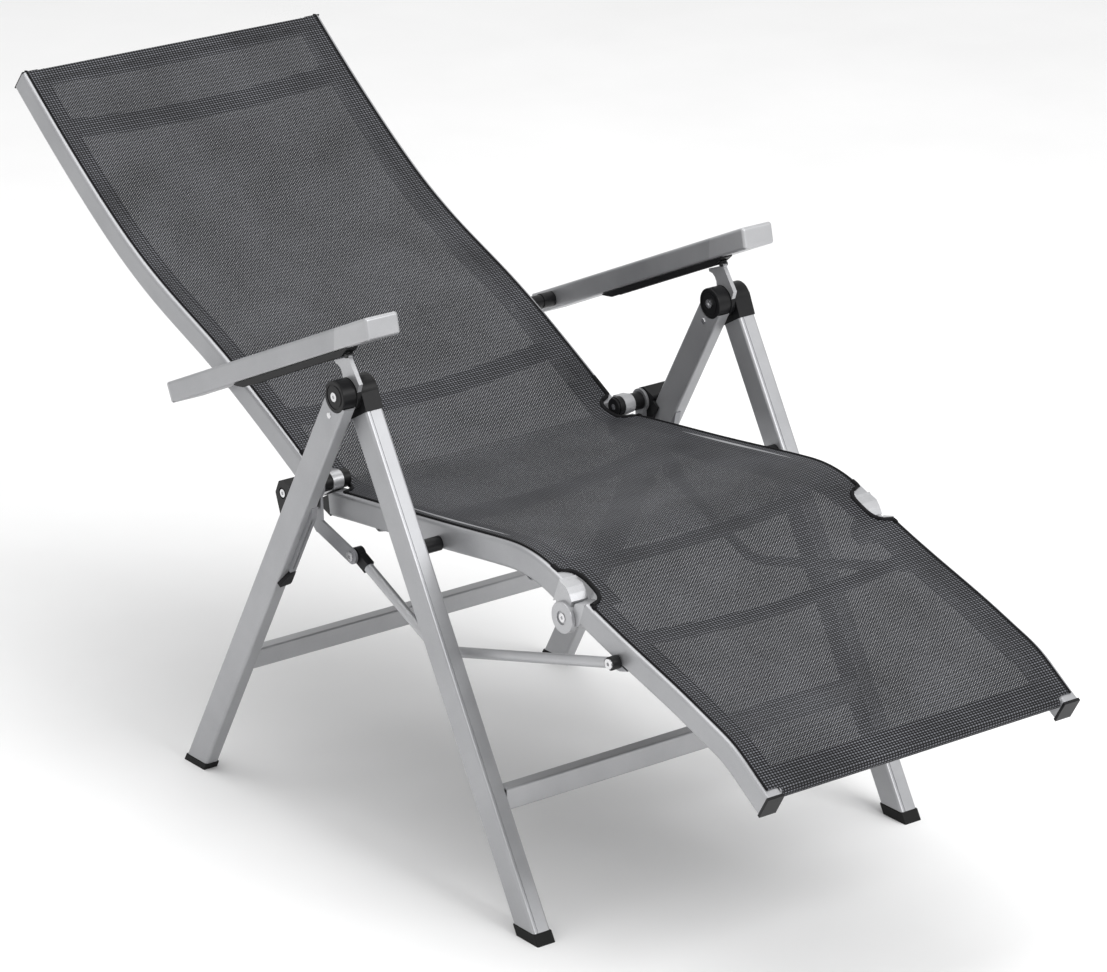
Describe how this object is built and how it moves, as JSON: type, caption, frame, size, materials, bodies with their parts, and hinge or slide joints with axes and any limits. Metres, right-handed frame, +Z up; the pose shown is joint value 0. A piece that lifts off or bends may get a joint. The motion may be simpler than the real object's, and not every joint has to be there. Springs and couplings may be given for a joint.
{
  "type": "reclining garden armchair",
  "caption": "Folding reclining garden armchair: two crossed leg frames, sling seat, high back and footrest linked by rods, armrests with notched catches.",
  "frame": {"origin": "middle of the outline's base, on the ground", "axes": "+Z up; +Y towards the backrest, the footrest is at -Y; X across the seat"},
  "size_m": [0.6666, 1.6274, 0.8284],
  "materials": {
    "silver_tube": "satin anodised",
    "black_plastic": "fine grained",
    "rubber_feet": "matte",
    "sling": "open mesh weave",
    "steel": "bright plated"
  },
  "bodies": {
    "front_frame": {"front_leg_left": "silver_tube", "front_leg_right": "silver_tube", "front_crossbar": "silver_tube", "front_feet": "rubber_feet", "front_top_caps": "black_plastic", "catch_blades": "steel", "catch_pins": "steel", "top_hinge_bolts": "steel", "seat_pivot_spacers": "black_plastic", "seat_pivot_bolts": "steel"},
    "rear_frame": {"rear_leg_left": "silver_tube", "rear_leg_right": "silver_tube", "rear_hubs": "black_plastic", "rear_hub_rivets": "steel", "rear_crossbar": "silver_tube", "rear_feet": "rubber_feet", "guide_strips": "silver_tube", "guide_tips": "black_plastic"},
    "seat": {"seat_rail_left": "silver_tube", "seat_rail_right": "silver_tube", "seat_rear_fittings": "black_plastic", "seat_front_knuckles": "silver_tube", "seat_cross_tubes": "silver_tube", "front_hinge_bolts": "steel", "seat_fabric": "sling"},
    "slides": {"slide_housings": "black_plastic", "rear_hinge_bolts": "steel"},
    "back_bush": {"rear_hinge_bushes": "black_plastic"},
    "backrest": {"back_rail_left": "silver_tube", "back_rail_right": "silver_tube", "back_knuckles": "silver_tube", "link_arms": "silver_tube", "link_arm_spacers": "black_plastic", "back_top_bar": "silver_tube", "back_cross_tubes": "silver_tube", "back_end_caps": "black_plastic", "arm_pivot_bolts": "steel", "rod_rear_bolts": "steel", "back_fabric": "sling"},
    "footrest_washers": {"front_hinge_washers": "black_plastic"},
    "footrest": {"foot_rail_left": "silver_tube", "foot_rail_right": "silver_tube", "foot_knuckles": "silver_tube", "link_brackets": "silver_tube", "foot_cross_tubes": "silver_tube", "foot_end_caps": "black_plastic", "foot_fabric": "sling"},
    "rod_bush": {"rod_washers": "black_plastic"},
    "link_rods": {"link_rods": "silver_tube", "rod_rear_ends": "black_plastic", "rod_front_ends": "black_plastic", "rod_front_bolts": "steel"},
    "arm_discs": {"arm_spacer_discs": "black_plastic"},
    "arm_bushes": {"arm_pivot_bushes": "black_plastic"},
    "arm_left": {"armrest_left": "silver_tube", "arm_caps_left": "black_plastic", "catch_rail_left": "black_plastic"},
    "arm_right": {"armrest_right": "silver_tube", "arm_caps_right": "black_plastic", "catch_rail_right": "black_plastic"}
  },
  "joints": [
    {"name": "leg_fold", "type": "hinge", "parent": "front_frame", "child": "rear_frame", "pos_m": [0, -0.06018, 0.618], "axis": [-1, 0, 0], "range_deg": [0, 26]},
    {"name": "seat_tilt", "type": "hinge", "parent": "front_frame", "child": "seat", "pos_m": [0, -0.16648, 0.437], "axis": [-1, 0, 0], "range_deg": [0, 50.19]},
    {"name": "slide_turn", "type": "hinge", "parent": "seat", "child": "slides", "pos_m": [0, 0.07482, 0.447], "axis": [-1, 0, 0], "range_deg": [-24.19, 0]},
    {"name": "back_fold", "type": "hinge", "parent": "seat", "child": "back_bush", "pos_m": [0, 0.07482, 0.447], "axis": [1, 0, 0], "range_deg": [0, 54.71]},
    {"name": "footrest_fold", "type": "hinge", "parent": "seat", "child": "footrest_washers", "pos_m": [0, -0.42518, 0.421], "axis": [1, 0, 0], "range_deg": [0, 49.81]},
    {"name": "recline", "type": "hinge", "parent": "back_bush", "child": "backrest", "pos_m": [0, 0.07482, 0.447], "axis": [1, 0, 0], "range_deg": [0, 46]},
    {"name": "footrest_tilt", "type": "hinge", "parent": "footrest_washers", "child": "footrest", "pos_m": [0, -0.42518, 0.421], "axis": [1, 0, 0], "range_deg": [0, 64.87]},
    {"name": "rod_fold", "type": "hinge", "parent": "backrest", "child": "rod_bush", "pos_m": [0, -0.00218, 0.372], "axis": [1, 0, 0], "range_deg": [-52.51, 0]},
    {"name": "rod_swing", "type": "hinge", "parent": "rod_bush", "child": "link_rods", "pos_m": [0, -0.00218, 0.372], "axis": [1, 0, 0], "range_deg": [-40.49, 0]},
    {"name": "arm_fold", "type": "hinge", "parent": "backrest", "child": "arm_discs", "pos_m": [0, 0.29982, 0.526], "axis": [1, 0, 0], "range_deg": [-64.01, 0]},
    {"name": "arm_tilt", "type": "hinge", "parent": "arm_discs", "child": "arm_bushes", "pos_m": [0, 0.29982, 0.526], "axis": [1, 0, 0], "range_deg": [-26.92, 0]},
    {"name": "arm_lift_left", "type": "hinge", "parent": "arm_bushes", "child": "arm_left", "pos_m": [0, 0.29982, 0.526], "axis": [-1, 0, 0], "range_deg": [0, 40]},
    {"name": "arm_lift_right", "type": "hinge", "parent": "arm_bushes", "child": "arm_right", "pos_m": [0, 0.29982, 0.526], "axis": [-1, 0, 0], "range_deg": [0, 40]}
  ],
  "couplings": [
    {"joint": "seat_tilt", "follows": "leg_fold", "ratio": 1.93},
    {"joint": "slide_turn", "follows": "leg_fold", "ratio": -0.93},
    {"joint": "back_fold", "follows": "leg_fold", "ratio": 2.1038},
    {"joint": "footrest_fold", "follows": "leg_fold", "ratio": 1.9154},
    {"joint": "footrest_tilt", "follows": "recline", "ratio": 1.41},
    {"joint": "rod_fold", "follows": "leg_fold", "ratio": -2.0192},
    {"joint": "rod_swing", "follows": "recline", "ratio": -0.88},
    {"joint": "arm_fold", "follows": "leg_fold", "ratio": -2.4615},
    {"joint": "arm_tilt", "follows": "recline", "ratio": -0.585}
  ]
}
